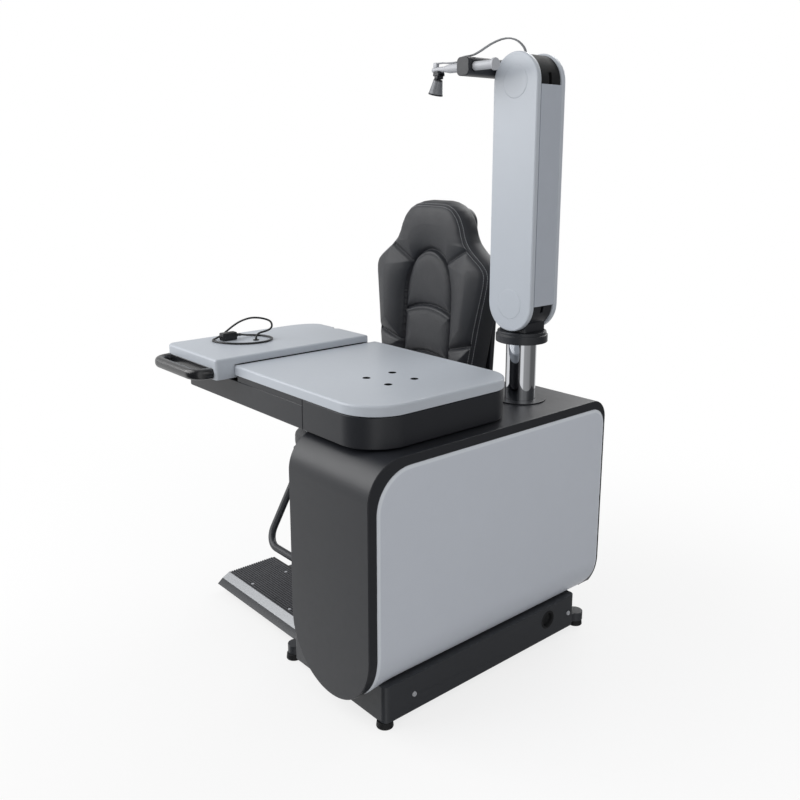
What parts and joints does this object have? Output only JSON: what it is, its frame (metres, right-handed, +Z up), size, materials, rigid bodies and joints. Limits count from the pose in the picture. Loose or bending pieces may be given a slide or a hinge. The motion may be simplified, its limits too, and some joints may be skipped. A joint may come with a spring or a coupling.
{
  "type": "ophthalmic examination chair unit",
  "caption": "Padded examination chair with a console, a rising and swinging instrument table, and a parallel-link arm carrying a small lamp on a chromed column.",
  "frame": {"origin": "middle of the unit's plan on the floor, under the levelling feet", "axes": "+Z up, -Y the way the sitter faces, +X towards the console"},
  "size_m": [1.015, 1.041, 1.8242],
  "materials": {
    "satin_black": "satin powder coat",
    "black_moulding": "fine textured moulding",
    "panel_grey": "smooth satin moulding",
    "top_white": "smooth satin moulding",
    "arm_white": "smooth satin moulding",
    "spine_grey": "satin anodised",
    "chrome_tube": "polished chrome plate",
    "silver": "fine turned",
    "inner_steel": "grey paint",
    "charcoal_leather": "grained upholstery",
    "tread_rubber": "ribbed rubber",
    "foot_rubber": "hard rubber",
    "lens_glass": "clear",
    "lead_black": "smooth sheath",
    "lead_grey": "smooth sheath"
  },
  "bodies": {
    "base": {"leveling_feet": "foot_rubber", "base_frame": "satin_black", "frame_bolts": "silver", "chair_base_plate": "satin_black", "console_shell": "black_moulding", "side_panel_outer": "panel_grey", "side_panel_inner": "panel_grey", "inner_frame": "inner_steel", "power_box": "inner_steel", "table_lift_guide": "inner_steel", "column_flange": "black_moulding", "column_tube": "chrome_tube", "chair_column_outer": "satin_black", "footrest_plate": "satin_black", "footrest_trim": "silver", "footrest_tread": "tread_rubber", "footrest_screws": "silver"},
    "table_lift": {"table_lift_tube": "chrome_tube", "table_lift_pad": "satin_black"},
    "table": {"table_housing": "black_moulding", "table_arm": "black_moulding", "table_rails": "black_moulding", "table_top": "top_white", "raised_top": "top_white", "table_handle": "black_moulding", "cord_grommet": "lead_black", "cord_lead": "lead_black", "cord_plug": "lead_black"},
    "swivel": {"swivel_collar": "black_moulding", "arm_yoke": "black_moulding", "lower_pivot_pin": "silver"},
    "arm": {"arm_cheek_front": "arm_white", "arm_cheek_rear": "arm_white", "arm_spine_outer": "spine_grey", "arm_spine_inner": "spine_grey", "pivot_caps": "arm_white"},
    "link": {"leveling_link": "inner_steel"},
    "head": {"head_block": "black_moulding", "upper_pivot_pin": "silver", "cross_bar": "black_moulding", "support_rod": "silver", "lamp_cable": "lead_grey", "lamp_bracket": "black_moulding"},
    "knob": {"clamp_knob": "silver"},
    "lamp": {"lamp_neck": "black_moulding", "lamp_shell": "silver", "lamp_bezel": "black_moulding", "lamp_lens": "lens_glass"},
    "seat": {"chair_column_inner": "chrome_tube", "seat_pan": "black_moulding", "seat_cushion": "charcoal_leather", "foot_hoop": "satin_black", "recline_brackets": "inner_steel"},
    "back": {"back_frame": "inner_steel", "back_cushion": "charcoal_leather", "back_shell": "black_moulding"}
  },
  "joints": [
    {"name": "table_raise", "type": "slide", "parent": "base", "child": "table_lift", "axis": [0, 0, 1], "range_m": [0, 0.15]},
    {"name": "table_swing", "type": "hinge", "parent": "table_lift", "child": "table", "pos_m": [0.2915, -0.1175, 0.8], "axis": [0, 0, 1], "range_deg": [0, 90]},
    {"name": "arm_swivel", "type": "hinge", "parent": "base", "child": "swivel", "pos_m": [0.3315, 0.3145, 0.95], "axis": [0, 0, 1], "range_deg": [-90, 100]},
    {"name": "arm_tilt", "type": "hinge", "parent": "swivel", "child": "arm", "pos_m": [0.3315, 0.3145, 1.061], "axis": [0, -1, 0], "range_deg": [0, 35]},
    {"name": "link_turn", "type": "hinge", "parent": "swivel", "child": "link", "pos_m": [0.3715, 0.3145, 1.061], "axis": [0, -1, 0], "range_deg": [0, 35]},
    {"name": "head_level", "type": "hinge", "parent": "arm", "child": "head", "pos_m": [0.3315, 0.3145, 1.698], "axis": [0, -1, 0], "range_deg": [-35, 0]},
    {"name": "knob_turn", "type": "hinge", "parent": "head", "child": "knob", "pos_m": [0.2785, 0.176, 1.742], "axis": [1, 0, 0], "range_deg": [-90, 90]},
    {"name": "lamp_tilt", "type": "hinge", "parent": "head", "child": "lamp", "pos_m": [0.0975, 0.176, 1.723], "axis": [0, 1, 0], "range_deg": [-25, 25]},
    {"name": "chair_raise", "type": "slide", "parent": "base", "child": "seat", "axis": [0, 0, 1], "range_m": [0, 0.15]},
    {"name": "back_recline", "type": "hinge", "parent": "seat", "child": "back", "pos_m": [-0.1765, 0.3875, 0.52], "axis": [-1, 0, 0], "range_deg": [0, 30]}
  ],
  "couplings": [
    {"joint": "link_turn", "follows": "arm_tilt", "ratio": 1},
    {"joint": "head_level", "follows": "arm_tilt", "ratio": -1}
  ]
}
